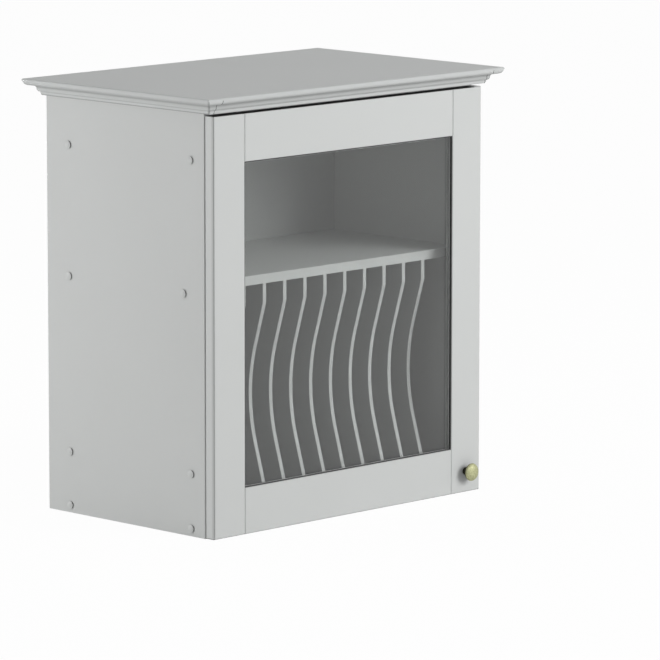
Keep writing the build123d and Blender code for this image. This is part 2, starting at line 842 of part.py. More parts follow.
def hinge_arm():
    neck = (arm_pivot_outer[0] - arm_neck[0], arm_pivot_outer[1] - arm_neck[1])
    shoulder = (arm_pivot_outer[0] + arm_shoulder, arm_pivot_outer[1])
    nose = [(arm_pivot_inner[0] + s * arm_nose_half, arm_front) for s in (-1, 1)]
    corners = [(arm_back, arm_root_end), (arm_back, arm_root_start), neck, *nose, shoulder,
               (arm_top, arm_root_start), (arm_top, arm_root_end), (arm_back, arm_root_end)]
    plan = make_face(Polyline(*[(hinge_x(x), y) for x, y in corners]))
    cheeks = [Pos(0, 0, z) * extrude(plan, cheek_thickness)
              for z in (cheek_inner, -cheek_inner - cheek_thickness)]
    web = board(hinge_x(arm_top - cheek_thickness), hinge_x(arm_top), arm_root_start, arm_root_end,
                -cheek_inner, cheek_inner)
    return cut(cheeks[0] + cheeks[1] + web, arm_pin_places(fit_slack / 2))


def plate_screw_places():
    y = (plate_start + plate_end) / 2
    return [(y, height + s * plate_screw_spacing / 2) for height in hinge_heights for s in (-1, 1)]


def hinge_plate():
    foot = board(-inner_half, plate_thickness - inner_half, plate_start, plate_end,
                 -plate_half_height, plate_half_height)
    spine = board(-inner_half, hinge_x(arm_top - cheek_thickness), arm_root_start, arm_root_end,
                  -cheek_inner, cheek_inner)
    bores = [rod_x(-inner_half, plate_thickness - inner_half, (plate_start + plate_end) / 2,
                   s * plate_screw_spacing / 2, plate_screw_radius + fit_slack) for s in (-1, 1)]
    return cut(foot + spine, bores)


def plate_screw(y, z):
    face = plate_thickness - inner_half
    head = rod_x(face, face + plate_screw_head_height, y, z, plate_screw_head_radius)
    return head + rod_x(face - plate_screw_length, face, y, z, plate_screw_radius)


def plate_screw_hole(y, z):
    face = plate_thickness - inner_half
    return rod_x(face - plate_screw_length - bore_slack, face, y, z, plate_screw_radius + fit_slack)


def save_carcass():
    save("side_panel_left", side_panel(-1))
    save("side_panel_right", side_panel(1))
    save("bottom_panel", bottom_panel())
    save("top_panel", top_panel())
    save("front_stretcher", stretcher(carcass_front))
    save("rear_stretcher", stretcher(carcass_back - stretcher_thickness))
    save("back_panel", back_panel())
    save("rear_rail_upper", rear_rail(shelf_row))
    save("rear_rail_lower", rear_rail(rack_row))
    save("hanging_cleat", hanging_cleat())
    save("wall_batten", wall_batten())


def save_interior():
    save("shelf", shelf())
    save("rack_end_left", rack_end(-1))
    save("rack_end_right", rack_end(1))
    for number, x in enumerate(divider_places, 1):
        save(f"plate_divider_{number:02d}", plate_divider(x))


def save_cornice():
    front = front_moulding()
    half_gap = seam_gap / 2
    save("cornice_front", front & slab_between(half_gap - seam_left, seam_right - half_gap))
    save("cornice_return_left", front & slab_between(-lip_half, -seam_left - half_gap))
    save("cornice_return_right", front & slab_between(seam_right + half_gap, lip_half))
    save("cornice_left", side_moulding(-1))
    save("cornice_right", side_moulding(1))
    save("cornice_back", back_moulding())
    save("top_cover", top_cover())


def save_fasteners():
    sides = (-1, 1)
    save("panel_screws", group([side_screw(s, y, z, screw_radius, screw_length)
                                for s in sides for y, z in side_screws()]))
    save("rack_screws", group([side_screw(s, y, z, rack_screw_radius, rack_screw_length)
                               for s in sides for y, z in rack_screw_places()]))
    save("cover_caps", group([cover_cap(s, y, z)
                              for s in sides for y, z in side_screws() + rack_screw_places()]))
    save("carcass_dowels", group([rod_x(x0, x1, y, z, dowel_radius) for x0, x1, y, z in carcass_dowels()]))
    save("cornice_dowels", group([rod_z(x, y, z0, z1, dowel_radius) for x, y, z0, z1 in cornice_dowels()]))
    rows = (panel_rows[0], cleat_screw_height())
    save("batten_screws", group([batten_screw(x, z) for z in rows for x in batten_screw_row()]))


def save_door():
    save("door_stile_left", door_stile(-1))
    save("door_stile_right", door_stile(1))
    save("door_rail_bottom", door_rail(door_lift, opening_bottom, False))
    save("door_rail_top", door_rail(opening_top, door_top, True))
    save("door_dowels", group([rod_x(x0, x1, door_thickness / 2, z, dowel_radius)
                               for x0, x1, z in door_dowels()]))
    save("glass_pane", glass_pane())
    save("glass_seal", glass_seal())
    save("glazing_beads", group(glazing_beads()))
    save("bead_pins", group(pin_rods(pin_radius, 0, 0)))
    save("knob", knob())
    save("knob_screw", knob_screw())
    save("door_bumpers", group(door_bumpers()))


def save_hinges():
    save("hinge_cups", both_hinges(hinge_cup))
    save("hinge_cup_screws", both_hinges(hinge_cup_screws))
    save("hinge_cup_pins", both_hinges(lambda: group(cup_pin_places(0))))
    save("hinge_arms", both_hinges(hinge_arm))
    save("hinge_arm_pins", both_hinges(lambda: group(arm_pin_places(0))))
    save("hinge_plates", both_hinges(hinge_plate))
    save("hinge_plate_screws", group([plate_screw(y, z) for y, z in plate_screw_places()]))
    save("hinge_outer_links", both_hinges(outer_link))
    save("hinge_inner_links", both_hinges(inner_link))


os.makedirs("parts", exist_ok=True)
save_carcass()
save_interior()
save_cornice()
save_fasteners()
save_door()
save_hinges()
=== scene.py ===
import json
import math

import bmesh
import bpy
from mathutils import Matrix, Vector


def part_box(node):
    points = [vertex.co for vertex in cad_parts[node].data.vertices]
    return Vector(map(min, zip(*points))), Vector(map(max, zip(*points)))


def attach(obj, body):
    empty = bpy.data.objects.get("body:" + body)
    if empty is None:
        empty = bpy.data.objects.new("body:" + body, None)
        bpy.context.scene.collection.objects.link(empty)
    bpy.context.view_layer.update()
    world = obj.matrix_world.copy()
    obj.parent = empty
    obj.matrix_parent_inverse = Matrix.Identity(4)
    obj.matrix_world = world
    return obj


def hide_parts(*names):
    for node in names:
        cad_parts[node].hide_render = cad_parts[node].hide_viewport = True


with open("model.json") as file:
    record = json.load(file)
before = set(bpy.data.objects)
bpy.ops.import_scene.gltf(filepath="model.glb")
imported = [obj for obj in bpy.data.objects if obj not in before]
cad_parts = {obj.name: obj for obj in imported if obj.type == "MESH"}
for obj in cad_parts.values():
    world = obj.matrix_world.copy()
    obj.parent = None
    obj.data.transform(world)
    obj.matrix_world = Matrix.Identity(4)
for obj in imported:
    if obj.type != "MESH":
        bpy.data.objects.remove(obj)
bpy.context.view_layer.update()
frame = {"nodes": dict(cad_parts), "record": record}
nodes = frame["nodes"]

# Sizes and places are in metres, in the cabinet's own frame
MM = 0.001
X, Y, Z = range(3)
FULL_TURN = 2 * math.pi

# The photograph's camera, solved from the cabinet's outline
CAMERA_PLACE = Vector((-5.3064, -5.3683, 1.448))
CAMERA_YAW = 45.392
CAMERA_PITCH = 9.025
CAMERA_ROLL = 0.057
CAMERA_REACH = 60.0
FOCAL_PIXELS = 5260.0
PICTURE_PIXELS = 660
SENSOR_WIDTH = 36.0

# Paint, as linear colours
PAINT_BODY = (0.600, 0.612, 0.604, 1.0)
PAINT_DOOR = (0.630, 0.643, 0.635, 1.0)
PAINT_TRIM = (0.590, 0.604, 0.598, 1.0)
PAINT_RACK_EDGE = (0.580, 0.592, 0.584, 1.0)
# Darker on the dividers' broad faces: painted shade between the dividers
PAINT_RACK_FACE_SHADE = (0.390, 0.399, 0.393, 1.0)
# Darker than the carcass: painted shade on the back panel inside the cabinet
PAINT_BACK_SHADE = (0.440, 0.449, 0.443, 1.0)
# Paler than the door: painted light on the glazing beads, which lie in shade behind the glass
PAINT_BEAD_LIGHT = (0.860, 0.870, 0.862, 1.0)

# Near-black on the moulding's seam ends, painted shade on the door's edges and the knob's neck, painted
# light on the seal's back
SEAM_END_BLACK = (0.03, 0.028, 0.026, 1.0)
EDGE_SHADE_BLACK = (0.022, 0.022, 0.021, 1.0)
KNOB_NECK_SHADE = (0.030, 0.030, 0.020, 1.0)
SEAL_BACK_LIGHT = (0.760, 0.765, 0.760, 1.0)

# Other colours: a pale and a dark one for timber, a bright and a dull one for metal
SOFTWOOD = ((0.62, 0.43, 0.23, 1.0), (0.44, 0.26, 0.11, 1.0))
BEECH = ((0.60, 0.40, 0.22, 1.0), (0.50, 0.31, 0.16, 1.0))
ZINC = ((0.66, 0.66, 0.62, 1.0), (0.42, 0.42, 0.38, 1.0))
NICKEL = ((0.72, 0.71, 0.69, 1.0), (0.52, 0.51, 0.49, 1.0))
BRASS = ((0.44, 0.445, 0.27, 1.0), (0.24, 0.24, 0.145, 1.0))
SEAL_BLACK = (0.028, 0.028, 0.028, 1.0)
# Near-black: painted shade on the caps' collars, under the heads' rims
COLLAR_SHADE_BLACK = (0.05, 0.05, 0.048, 1.0)
BUMPER_GREY = (0.55, 0.56, 0.55, 1.0)
GLASS_TINT = (0.80, 0.81, 0.805, 1.0)
GLASS_SHADOW_TINT = (0.74, 0.75, 0.745, 1.0)
GLASS_IOR = 1.5
WHITE = (1.0, 1.0, 1.0, 1.0)

# Sprayed paint: scales of its marks in waves per metre, and how strong they are
PAINT_DRIFT_SCALE = 5.0
PAINT_SPECK_SCALE = 900.0
PAINT_SPECK_STRENGTH = 0.012
PAINT_GLOSS_SPREAD = 0.12
PAINT_RIPPLE_SHARE = 0.75
PAINT_SHEEN = 0.08

# Rubber and soft plastic, which share the paint's marks
RUBBER_DRIFT = 0.2
RUBBER_RIPPLE_SCALE = 1500.0

# Planed timber, whose grain is stretched along X
RING_STRETCH = (0.06, 1.0, 1.0)
RING_WARP_SCALE = 14.0
RING_WARP_RANGE = (0.3, 0.7)
RING_DISTORTION = 5.0
RING_DETAIL = 3.0
RING_DETAIL_SCALE = 1.4
LATE_WOOD_RANGE = (0.5, 1.0)
LATE_WOOD_HEIGHT = 0.4
PORE_STRETCH = (0.02, 1.0, 1.0)
PORE_SCALE = 1400.0
PORE_RANGE = (0.60, 0.75)
PORE_DARKNESS = (0.0, 0.35)
PORE_TONE_RANGE = (0.3, 0.7)
TIMBER_ROUGHNESS = (0.5, 0.68)

# Worn metal: cloudiness, and scratches that run along Y
CLOUD_DETAIL = 5.0
CLOUD_ROUGHNESS = 0.65
CLOUD_RANGE = (0.35, 0.68)
DULL_ROUGHNESS = 0.28
SCRATCH_STRETCH = (1.0, 0.08, 1.0)
SCRATCH_SCALE = 2600.0
SCRATCH_ROUGHNESS = 0.14
SCRATCH_SHARE = 0.5

# Bumps: how high, and how strong
PAINT_BUMP = (0.12 * MM, 0.35)
TIMBER_BUMP = (0.2 * MM, 0.5)
METAL_BUMP = (0.05 * MM, 0.25)
RUBBER_BUMP = (0.05 * MM, 0.4)

# Painted shade on the moulding's forms, darker in hollows and at the side's foot: height and tone
FRONT_PAINTED_SHADE = {
    "foot": (0.0, 1.0),
    "bead": (3.4 * MM, 1.0),
    "groove": (5.4 * MM, 0.74),
    "ovolo foot": (6.9 * MM, 0.78),
    "ovolo": (8.4 * MM, 0.88),
    "ovolo top": (10.0 * MM, 0.82),
    "cove": (12.0 * MM, 0.69),
    "cove top": (14.1 * MM, 0.67),
    "nose foot": (15.8 * MM, 0.83),
    "nose": (18.33 * MM, 1.0),
}
SIDE_PAINTED_SHADE = {
    "foot": (0.0, 0.46),
    "bead": (1.9 * MM, 1.0),
    "bead top": (4.0 * MM, 1.0),
    "groove": (5.2 * MM, 0.74),
    "ovolo": (6.6 * MM, 0.98),
    "ovolo top": (9.6 * MM, 0.94),
    "cove": (12.0 * MM, 0.66),
    "cove top": (14.1 * MM, 0.72),
    "nose": (18.33 * MM, 1.0),
}

# The height over the moulding's foot that the painted shade is laid out on
SHADED_HEIGHT = 21.15 * MM

# Painted shade on the hinge stile's outer edge, darker next to the door's front
HINGE_EDGE_SHADE = 0.63
HINGE_EDGE_FADE = 6.5 * MM
HINGE_EDGE_DEPTH = 0.8 * MM

# The door's edges in painted shade: their depths, and the length at the right end of the top one left
# unshaded
TOP_EDGE_DEPTH = 0.6 * MM
TOP_EDGE_UNSHADED = 14.0 * MM
FOOT_EDGE_HEIGHT = 0.7 * MM

# How far behind the door's front the seal's painted light begins
SEAL_FRONT_DEPTH = 4.3 * MM

# How far in front of the door the knob's rim is, and over what length the painted shade behind it fades in
KNOB_RIM_OUT = 12.3 * MM
NECK_SHADE_FADE = 1.4 * MM

# How near a face's direction has to be to X to count as a cut end or a broad face
FACING_X = 0.98

# The floor: its half width, the share of its own light where it is looked at, and its paint
FLOOR_REACH = 14.0
FLOOR_SHINE = 0.97
FLOOR_PALENESS = 0.93
FLOOR_ROUGHNESS = 0.9

# The world's light, and the diffuse depth under which a ray has met no matt surface
WORLD_LIGHT = 0.30
HALF_A_BOUNCE = 0.5

# Lamps: what they point at, then the place, size and power of each
LAMP_TARGET = (0, 0, 0.3)
KEY_LAMP = ((1.50, -3.70, 1.60), 2.2, 98.5)
REAR_FILL_LAMP = ((-2.45, 2.06, 0.36), 0.7, 47.0)
OVERHEAD_LAMP = ((0.2, 0.1, 3.40), 2.0, 10.0)

# Meshes: steps round a turned piece and over a crown, which edges stay sharp, how near points merge
TURNING_STEPS = 36
CROWN_STEPS = 8
SHARP_ANGLE = math.radians(35)
MERGE_DISTANCE = 0.001 * MM

# Caps: the head's depth, and how much narrower the collar's radius is
CAP_HEAD_DEPTH = 1.0 * MM
CAP_COLLAR_INSET = 0.5 * MM

# Rims: widths as shares of the piece's radius, and the edge's height as a share of the rim's width
CAP_RIM_SHARE = 0.12
BUMPER_RIM_SHARE = 0.15
RIM_EDGE_SHARE = 0.4

# Screws: head's radius and depth, shank's radius, and whether the head is countersunk
BATTEN_SCREW = (4.5 * MM, 4.5 * MM, 2.5 * MM, True)
HINGE_PLATE_SCREW = (3.6 * MM, 1.4 * MM, 2.6 * MM, False)
HINGE_CUP_SCREW = (3.4 * MM, 1.2 * MM, 1.6 * MM, False)

# A screw's thread
THREAD_PITCH = 1.6 * MM
THREAD_DEPTH = 0.35 * MM

# A screw's point and the start of its thread over the tip, as shares of the shank's radius
POINT_WIDTH_SHARE = 0.5
THREAD_START_SHARE = 1.5

# A round head's outline: shares of its radius, and of its depth below the top
ROUND_HEAD = ((1.0, 1.0), (1.0, 0.55), (0.85, 0.15), (0.5, 0.0))

# A countersunk head's rim and bevel, as shares of its depth
COUNTERSUNK_RIM = 0.08
COUNTERSUNK_BEVEL = 0.05

# A screw's cross recess, as shares of the head's radius
CROSS_REACH_SHARE = 0.55
CROSS_BLADE_SHARE = 0.11
CROSS_DEPTH_SHARE = 0.5

# The recess's taper, and how far its cutter stands out over the head as a share of the depth
CROSS_TAPER = 0.5
CROSS_STANDS_OUT = 0.2

# Seeds for the turn of each fastener, by the set's name
SEEDS = {"cap_heads": 3, "cap_collars": 4, "door_bumper_pads": 5, "batten_screws_crosshead": 11,
         "hinge_plate_screws_crosshead": 12, "hinge_cup_screws_crosshead": 13}

scene = bpy.context.scene
scene.view_settings.view_transform = "Standard"


# Camera
def make_camera():
    data = bpy.data.cameras.new("photo_camera")
    data.sensor_width = SENSOR_WIDTH
    data.lens = FOCAL_PIXELS * SENSOR_WIDTH / PICTURE_PIXELS
    data.clip_end = CAMERA_REACH
    camera = bpy.data.objects.new("photo_camera", data)
    scene.collection.objects.link(camera)
    turn = Matrix.Rotation(math.radians(-CAMERA_YAW), 4, "Z")
    tilt = Matrix.Rotation(math.radians(90 - CAMERA_PITCH), 4, "X")
    roll = Matrix.Rotation(math.radians(CAMERA_ROLL), 4, "Z")
    camera.matrix_world = Matrix.Translation(CAMERA_PLACE) @ turn @ tilt @ roll
    scene.camera = camera


# Node helpers
def add_node(tree, kind, **settings):
    node = tree.nodes.new(kind)
    for name, value in settings.items():
        setattr(node, name, value)
    return node


def join(tree, source, target):
    tree.links.new(source, target)


# Links a socket to an input, or writes a plain value into it
def feed(tree, target, value):
    if isinstance(value, bpy.types.NodeSocket):
        join(tree, value, target)
    else:
        target.default_value = value


def new_group(name, inputs, outputs):
    group = bpy.data.node_groups.new(name, "ShaderNodeTree")
    for label, kind, value in inputs:
        socket = group.interface.new_socket(label, in_out="INPUT", socket_type=kind)
        socket.default_value = value
    for label, kind in outputs:
        group.interface.new_socket(label, in_out="OUTPUT", socket_type=kind)
    entry = group.nodes.new("NodeGroupInput")
    leave = group.nodes.new("NodeGroupOutput")
    return group, entry, leave


def noise(tree, coordinates, scale, detail, roughness=0.5):
    node = add_node(tree, "ShaderNodeTexNoise")
    feed(tree, node.inputs["Scale"], scale)
    node.inputs["Detail"].default_value = detail
    node.inputs["Roughness"].default_value = roughness
    join(tree, coordinates, node.inputs["Vector"])
    return node.outputs["Fac"]


def calculate(tree, operation, first, second=None, clamp=False):
    node = add_node(tree, "ShaderNodeMath", operation=operation, use_clamp=clamp)
    feed(tree, node.inputs[0], first)
    if second is not None:
        feed(tree, node.inputs[1], second)
    return node.outputs[0]


def remap(tree, value, low, high, to_low, to_high):
    node = add_node(tree, "ShaderNodeMapRange")
    join(tree, value, node.inputs["Value"])
    for label, number in (("From Min", low), ("From Max", high), ("To Min", to_low), ("To Max", to_high)):
        feed(tree, node.inputs[label], number)
    return node.outputs["Result"]


def mix_colour(tree, factor, first, second, blend="MIX"):
    node = add_node(tree, "ShaderNodeMix", data_type="RGBA", blend_type=blend)
    for index, value in ((0, factor), (6, first), (7, second)):
        feed(tree, node.inputs[index], value)
    return node.outputs[2]


# Spreads a noise to both sides of nought
def spread(tree, value, strength):
    return calculate(tree, "MULTIPLY", calculate(tree, "SUBTRACT", value, 0.5), strength)


# Adds two heights, the first one with the given share
def blend_heights(tree, first, second, share):
    return calculate(tree, "ADD", calculate(tree, "MULTIPLY", first, share),
                     calculate(tree, "MULTIPLY", second, 1 - share))


def scaled_place(tree, scale):
    place = add_node(tree, "ShaderNodeTexCoord")
    mapping = add_node(tree, "ShaderNodeMapping")
    mapping.inputs["Scale"].default_value = scale
    join(tree, place.outputs["Object"], mapping.inputs["Vector"])
    return mapping.outputs["Vector"]


# Places along one axis of the cabinet
def place_along(tree, axis):
    place = add_node(tree, "ShaderNodeTexCoord")
    split = add_node(tree, "ShaderNodeSeparateXYZ")
    join(tree, place.outputs["Object"], split.inputs[0])
    return split.outputs[axis]


# Sprayed paint: broad tone drift, fine flow ripple and faint specks
def make_paint_group():
    group, entry, leave = new_group(
        "sprayed_paint",
        [("Colour", "NodeSocketColor", (0.6, 0.6, 0.6, 1.0)),
         ("Drift", "NodeSocketFloat", 0.03),
         ("Gloss", "NodeSocketFloat", 0.45),
         ("Ripple scale", "NodeSocketFloat", 420.0)],
        [("Colour", "NodeSocketColor"), ("Roughness", "NodeSocketFloat"), ("Height", "NodeSocketFloat")])
    place = add_node(group, "ShaderNodeTexCoord").outputs["Object"]
    broad = noise(group, place, PAINT_DRIFT_SCALE, detail=2.0)
    fine = noise(group, place, PAINT_SPECK_SCALE, detail=2.0)
    ripple = noise(group, place, entry.outputs["Ripple scale"], detail=3.0)
    marks = calculate(group, "ADD", spread(group, broad, entry.outputs["Drift"]),
                      spread(group, fine, PAINT_SPECK_STRENGTH))
    scaled = add_node(group, "ShaderNodeVectorMath", operation="SCALE")
    join(group, entry.outputs["Colour"], scaled.inputs[0])
    join(group, calculate(group, "ADD", marks, 1.0), scaled.inputs["Scale"])
    join(group, scaled.outputs["Vector"], leave.inputs["Colour"])
    gloss = calculate(group, "ADD", entry.outputs["Gloss"], spread(group, ripple, PAINT_GLOSS_SPREAD))
    join(group, gloss, leave.inputs["Roughness"])
    join(group, blend_heights(group, ripple, fine, PAINT_RIPPLE_SHARE), leave.inputs["Height"])
    return group


# Planed timber: long streaks along one axis, darker late wood and pores
def make_timber_group():
    group, entry, leave = new_group(
        "planed_timber",
        [("Pale", "NodeSocketColor", (0.6, 0.42, 0.24, 1.0)),
         ("Dark", "NodeSocketColor", (0.42, 0.25, 0.12, 1.0)),
         ("Ring scale", "NodeSocketFloat", 60.0)],
        [("Colour", "NodeSocketColor"), ("Roughness", "NodeSocketFloat"), ("Height", "NodeSocketFloat")])
    place = scaled_place(group, RING_STRETCH)
    warp = noise(group, place, RING_WARP_SCALE, detail=3.0)
    wave = add_node(group, "ShaderNodeTexWave", wave_type="RINGS", rings_direction="X")
    wave.inputs["Distortion"].default_value = RING_DISTORTION
    wave.inputs["Detail"].default_value = RING_DETAIL
    wave.inputs["Detail Scale"].default_value = RING_DETAIL_SCALE
    join(group, entry.outputs["Ring scale"], wave.inputs["Scale"])
    join(group, place, wave.inputs["Vector"])
    pores = noise(group, scaled_place(group, PORE_STRETCH), PORE_SCALE, detail=2.0)
    fading = remap(group, warp, *RING_WARP_RANGE, *LATE_WOOD_RANGE)
    late = calculate(group, "MULTIPLY", wave.outputs["Fac"], fading, clamp=True)
    colour = mix_colour(group, late, entry.outputs["Pale"], entry.outputs["Dark"])
    pore_mask = remap(group, pores, *PORE_RANGE, *PORE_DARKNESS)
    join(group, mix_colour(group, pore_mask, colour, entry.outputs["Dark"]), leave.inputs["Colour"])
    join(group, remap(group, pores, *PORE_TONE_RANGE, *TIMBER_ROUGHNESS), leave.inputs["Roughness"])
    ridges = calculate(group, "MULTIPLY", late, LATE_WOOD_HEIGHT)
    join(group, calculate(group, "SUBTRACT", ridges, pore_mask), leave.inputs["Height"])
    return group


# Metal finish: fine scratches, faint cloudiness and dull spots
def make_metal_group():
    group, entry, leave = new_group(
        "worn_metal",
        [("Bright", "NodeSocketColor", (0.6, 0.6, 0.6, 1.0)),
         ("Dull", "NodeSocketColor", (0.4, 0.4, 0.38, 1.0)),
         ("Cover", "NodeSocketFloat", 0.4),
         ("Gloss", "NodeSocketFloat", 0.3),
         ("Cloud scale", "NodeSocketFloat", 300.0)],
        [("Colour", "NodeSocketColor"), ("Roughness", "NodeSocketFloat"), ("Height", "NodeSocketFloat")])
    place = add_node(group, "ShaderNodeTexCoord").outputs["Object"]
    clouds = noise(group, place, entry.outputs["Cloud scale"], CLOUD_DETAIL, CLOUD_ROUGHNESS)
    scratches = noise(group, scaled_place(group, SCRATCH_STRETCH), SCRATCH_SCALE, detail=2.0)
    mask = remap(group, clouds, *CLOUD_RANGE, 0.0, 1.0)
    mask = calculate(group, "MULTIPLY", mask, entry.outputs["Cover"], clamp=True)
    colour = mix_colour(group, mask, entry.outputs["Bright"], entry.outputs["Dull"])
    join(group, colour, leave.inputs["Colour"])
    dulled = calculate(group, "MULTIPLY", mask, DULL_ROUGHNESS)
    rough = calculate(group, "ADD", entry.outputs["Gloss"], dulled)
    rough = calculate(group, "ADD", rough, spread(group, scratches, SCRATCH_ROUGHNESS))
    join(group, rough, leave.inputs["Roughness"])
    join(group, blend_heights(group, scratches, clouds, SCRATCH_SHARE), leave.inputs["Height"])
    return group


# Painted shade on the forms of one kind of moulding, between its foot and its top
def make_moulding_shade_group(name, tones):
    group, entry, leave = new_group(
        name,
        [("Foot height", "NodeSocketFloat", 0.0), ("Top height", "NodeSocketFloat", SHADED_HEIGHT)],
        [("Tone", "NodeSocketColor")])
    ramp = add_node(group, "ShaderNodeValToRGB")
    while len(ramp.color_ramp.elements) < len(tones):
        ramp.color_ramp.elements.new(0.5)
    for element, (height, tone) in zip(ramp.color_ramp.elements, tones.values()):
        element.position = height / SHADED_HEIGHT
        element.color = (tone, tone, tone, 1.0)
    share = remap(group, place_along(group, Z), entry.outputs["Foot height"],
                  entry.outputs["Top height"], 0.0, 1.0)
    join(group, share, ramp.inputs["Fac"])
    join(group, ramp.outputs["Color"], leave.inputs["Tone"])
    return group


# A mask that is one on faces across X. It reads world directions, so it is for fixed pieces
def make_across_group():
    group, entry, leave = new_group("faces_across_x", [("Least facing", "NodeSocketFloat", FACING_X)],
                                    [("Mask", "NodeSocketFloat")])
    face = add_node(group, "ShaderNodeNewGeometry")
    split = add_node(group, "ShaderNodeSeparateXYZ")
    join(group, face.outputs["True Normal"], split.inputs[0])
    facing = calculate(group, "ABSOLUTE", split.outputs["X"])
    across = calculate(group, "GREATER_THAN", facing, entry.outputs["Least facing"])
    join(group, across, leave.inputs["Mask"])
    return group


PAINT_GROUP = make_paint_group()
TIMBER_GROUP = make_timber_group()
METAL_GROUP = make_metal_group()
FRONT_SHADE_GROUP = make_moulding_shade_group("front_moulding_painted_shade", FRONT_PAINTED_SHADE)
SIDE_SHADE_GROUP = make_moulding_shade_group("side_moulding_painted_shade", SIDE_PAINTED_SHADE)
ACROSS_GROUP = make_across_group()


# Material helpers
def new_material(name):
    material = bpy.data.materials.new(name)
    material.use_nodes = True
    tree = material.node_tree
    shader = tree.nodes["Principled BSDF"]
    return material, tree, shader


def place_group(tree, group, values):
    node = tree.nodes.new("ShaderNodeGroup")
    node.node_tree = group
    for label, value in values.items():
        node.inputs[label].default_value = value
    return node


def dress(tree, shader, effect, bump_size):
    join(tree, effect.outputs["Colour"], shader.inputs["Base Color"])
    join(tree, effect.outputs["Roughness"], shader.inputs["Roughness"])
    bump = add_node(tree, "ShaderNodeBump")
    bump.inputs["Distance"].default_value, bump.inputs["Strength"].default_value = bump_size
    join(tree, effect.outputs["Height"], bump.inputs["Height"])
    join(tree, bump.outputs["Normal"], shader.inputs["Normal"])


# Mixes another colour into a material where the mask is one
def overlay(material, mask, colour, blend="MIX"):
    tree = material.node_tree
    base = tree.nodes["Principled BSDF"].inputs["Base Color"]
    join(tree, mix_colour(tree, mask, base.links[0].from_socket, colour, blend), base)


def painted(name, colour, drift, gloss, ripple):
    material, tree, shader = new_material(name)
    values = {"Colour": colour, "Drift": drift, "Gloss": gloss, "Ripple scale": ripple}
    dress(tree, shader, place_group(tree, PAINT_GROUP, values), PAINT_BUMP)
    shader.inputs["Specular IOR Level"].default_value = PAINT_SHEEN
    return material


# Paint on a fixed piece whose faces across X have another colour: painted shade on the dividers' broad
# faces, and near-black on a moulding's seam ends
def painted_two_ways(name, colour, colour_across_x, drift, gloss, ripple):
    material = painted(name, colour, drift, gloss, ripple)
    across = place_group(material.node_tree, ACROSS_GROUP, {"Least facing": FACING_X})
    overlay(material, across.outputs["Mask"], colour_across_x)
    return material


def timber(name, colours, rings):
    material, tree, shader = new_material(name)
    values = {"Pale": colours[0], "Dark": colours[1], "Ring scale": rings}
    dress(tree, shader, place_group(tree, TIMBER_GROUP, values), TIMBER_BUMP)
    return material


def metal(name, colours, cover, gloss, clouds):
    material, tree, shader = new_material(name)
    values = {"Bright": colours[0], "Dull": colours[1], "Cover": cover, "Gloss": gloss,
              "Cloud scale": clouds}
    dress(tree, shader, place_group(tree, METAL_GROUP, values), METAL_BUMP)
    shader.inputs["Metallic"].default_value = 1.0
    return material


def rubber(name, colour, gloss):
    material, tree, shader = new_material(name)
    values = {"Colour": colour, "Drift": RUBBER_DRIFT, "Gloss": gloss, "Ripple scale": RUBBER_RIPPLE_SCALE}
    dress(tree, shader, place_group(tree, PAINT_GROUP, values), RUBBER_BUMP)
    return material


# Smoked glass: it lets the lamps' light through, as a thin pane does
def smoked_glass():
    material, tree, shader = new_material("smoked_glass_pane")
    shader.inputs["Base Color"].default_value = GLASS_TINT
    shader.inputs["Roughness"].default_value = 0.0
    shader.inputs["IOR"].default_value = GLASS_IOR
    shader.inputs["Transmission Weight"].default_value = 1.0
    clear = add_node(tree, "ShaderNodeBsdfTransparent")
    clear.inputs["Color"].default_value = GLASS_SHADOW_TINT
    path = add_node(tree, "ShaderNodeLightPath")
    mix = add_node(tree, "ShaderNodeMixShader")
    join(tree, path.outputs["Is Shadow Ray"], mix.inputs[0])
    join(tree, shader.outputs[0], mix.inputs[1])
    join(tree, clear.outputs[0], mix.inputs[2])
    join(tree, mix.outputs[0], tree.nodes["Material Output"].inputs["Surface"])
    return material


# Painted shade: the paint is darkened in the moulding's hollows, where shade falls
def paint_shade_in_hollows(material, shade_group):
    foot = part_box("cornice_front")[0].z
    values = {"Foot height": foot, "Top height": foot + SHADED_HEIGHT}
    forms = place_group(material.node_tree, shade_group, values)
    overlay(material, 1.0, forms.outputs["Tone"], "MULTIPLY")


# Painted shade: the paint is darkened on the hinge stile's outer edge, next to the front
def paint_shade_on_hinge_edge(material):
    tree = material.node_tree
    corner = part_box("door_stile_left")[0]
    edge = calculate(tree, "LESS_THAN", place_along(tree, X), corner.x + HINGE_EDGE_DEPTH)
    tone = remap(tree, place_along(tree, Y), corner.y, corner.y + HINGE_EDGE_FADE, HINGE_EDGE_SHADE, 1.0)
    overlay(material, edge, tone, "MULTIPLY")


# Painted shade: the door's top edge, which only the gap under the moulding shows, and its foot are
# near-black for the shade there
def paint_shade_on_door_edges(material):
    tree = material.node_tree
    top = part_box("door_rail_top")[1].z - TOP_EDGE_DEPTH
    painted_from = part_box("door_stile_right")[1].x - TOP_EDGE_UNSHADED
    high = calculate(tree, "GREATER_THAN", place_along(tree, Z), top)
    shaded_stretch = calculate(tree, "LESS_THAN", place_along(tree, X), painted_from)
    overlay(material, calculate(tree, "MULTIPLY", high, shaded_stretch), EDGE_SHADE_BLACK)
    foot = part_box("door_rail_bottom")[0].z + FOOT_EDGE_HEIGHT
    overlay(material, calculate(tree, "LESS_THAN", place_along(tree, Z), foot), EDGE_SHADE_BLACK)


# Painted light: the seal is paler where it lies close to the glass, to brighten what the glass shows there
def paint_light_on_seal_back(material):
    tree = material.node_tree
    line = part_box("door_rail_top")[0].y + SEAL_FRONT_DEPTH
    overlay(material, calculate(tree, "GREATER_THAN", place_along(tree, Y), line), SEAL_BACK_LIGHT)


